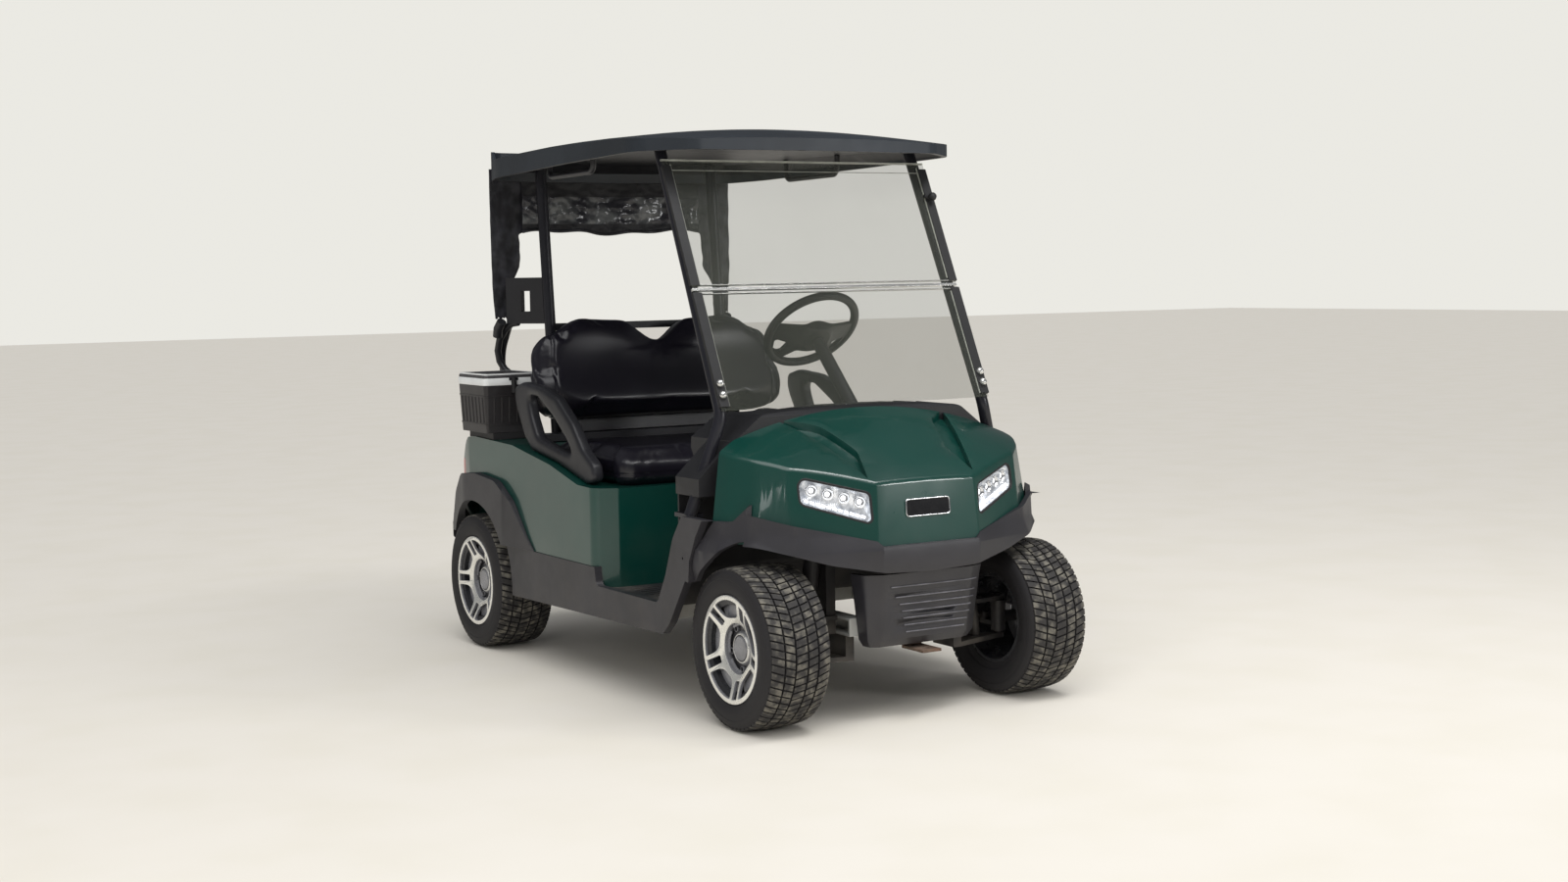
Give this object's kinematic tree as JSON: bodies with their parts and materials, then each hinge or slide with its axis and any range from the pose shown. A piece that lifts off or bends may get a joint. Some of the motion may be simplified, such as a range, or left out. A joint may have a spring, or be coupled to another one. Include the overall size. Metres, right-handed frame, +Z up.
{
  "type": "two-seat golf cart",
  "caption": "Electric golf cart with bench seat, moulded cowl, canopy roof on posts, folding windshield, bag well, cooler, steered front wheels and rear cover.",
  "frame": {"origin": "on the ground under the centre of the cart's length and width", "axes": "+Z up, -Y towards the front, +X to the cart's left side"},
  "size_m": [1.2, 2.336, 1.7161],
  "materials": {
    "paint_green": "satin",
    "body_plastic": "satin",
    "roof_plastic": "satin",
    "post_paint": "satin",
    "frame_alloy": "matte",
    "steel": "matte",
    "seat_vinyl": "satin",
    "rubber": "matte",
    "tyre": "matte",
    "rim_alloy": "gloss",
    "glazing": "gloss",
    "lamp": "gloss",
    "tail_lens": "gloss",
    "fabric": "matte",
    "cooler": "satin",
    "rust": "matte"
  },
  "bodies": {
    "cart": {"frame_rails": "frame_alloy", "frame_crossmembers": "frame_alloy", "floor_pan": "body_plastic", "sills": "body_plastic", "cowl": "paint_green", "headlamps": "lamp", "front_bumper": "body_plastic", "front_skirt": "body_plastic", "tow_bracket": "rust", "dash": "body_plastic", "pedals": "rubber", "rear_body": "paint_green", "tail_lamps": "tail_lens", "rear_flares": "body_plastic", "rear_bumper": "body_plastic", "bag_well": "body_plastic", "battery_pack": "body_plastic", "front_suspension": "steel", "rear_axle": "steel", "rear_springs": "steel", "seat_back": "seat_vinyl", "seat_back_frame": "body_plastic", "armrests": "body_plastic", "front_posts": "post_paint", "rear_posts": "post_paint", "roof": "roof_plastic", "roof_grips": "body_plastic", "windshield": "glazing", "windshield_rail": "rim_alloy", "windshield_channels": "rubber", "windshield_knobs": "rim_alloy", "bag_rack": "body_plastic", "cover_strips": "fabric", "cover_curtain": "fabric", "steering_column": "post_paint", "cooler_bracket": "steel", "cooler_body": "cooler"},
    "knuckle_right": {"knuckle_right": "steel"},
    "knuckle_left": {"knuckle_left": "steel"},
    "tie_rod": {"tie_rod": "steel"},
    "wheel_front_right": {"tyre_front_right": "tyre", "rim_front_right": "rim_alloy"},
    "wheel_front_left": {"tyre_front_left": "tyre", "rim_front_left": "rim_alloy"},
    "wheel_rear_right": {"tyre_rear_right": "tyre", "rim_rear_right": "rim_alloy"},
    "wheel_rear_left": {"tyre_rear_left": "tyre", "rim_rear_left": "rim_alloy"},
    "steering_wheel": {"steering_wheel": "body_plastic"},
    "seat_cushion": {"seat_cushion": "seat_vinyl"},
    "cooler_lid": {"cooler_lid": "cooler"}
  },
  "joints": [
    {"name": "steer_right", "type": "hinge", "parent": "cart", "child": "knuckle_right", "pos_m": [-0.385, -0.939, 0.229], "axis": [0, 0, 1], "range_deg": [-30, 30]},
    {"name": "steer_left", "type": "hinge", "parent": "cart", "child": "knuckle_left", "pos_m": [0.385, -0.939, 0.229], "axis": [0, 0, 1], "range_deg": [-30, 30]},
    {"name": "tie_rod_pivot", "type": "hinge", "parent": "knuckle_right", "child": "tie_rod", "pos_m": [-0.385, -0.869, 0.226], "axis": [0, 0, 1], "range_deg": [-30, 30]},
    {"name": "steering_wheel_turn", "type": "hinge", "parent": "cart", "child": "steering_wheel", "pos_m": [0.268, -0.095, 1.078], "axis": [0, 0.7071, 0.7071], "range_deg": [-360, 360]},
    {"name": "wheel_front_right_spin", "type": "hinge", "parent": "knuckle_right", "child": "wheel_front_right", "pos_m": [-0.444, -0.939, 0.229], "axis": [1, 0, 0], "continuous": true},
    {"name": "wheel_front_left_spin", "type": "hinge", "parent": "knuckle_left", "child": "wheel_front_left", "pos_m": [0.444, -0.939, 0.229], "axis": [1, 0, 0], "continuous": true},
    {"name": "wheel_rear_right_spin", "type": "hinge", "parent": "cart", "child": "wheel_rear_right", "pos_m": [-0.5, 0.725, 0.229], "axis": [1, 0, 0], "continuous": true},
    {"name": "wheel_rear_left_spin", "type": "hinge", "parent": "cart", "child": "wheel_rear_left", "pos_m": [0.5, 0.725, 0.229], "axis": [1, 0, 0], "continuous": true},
    {"name": "seat_cushion_lift", "type": "hinge", "parent": "cart", "child": "seat_cushion", "pos_m": [0, 0.362, 0.64], "axis": [-1, 0, 0], "range_deg": [0, 30]},
    {"name": "cooler_lid_hinge", "type": "hinge", "parent": "cart", "child": "cooler_lid", "pos_m": [-0.3985, 0.7025, 0.903], "axis": [0, 1, 0], "range_deg": [0, 60]}
  ],
  "couplings": [
    {"joint": "steer_left", "follows": "steer_right", "ratio": 1},
    {"joint": "tie_rod_pivot", "follows": "steer_right", "ratio": -1},
    {"joint": "steering_wheel_turn", "follows": "steer_right", "ratio": 12}
  ]
}
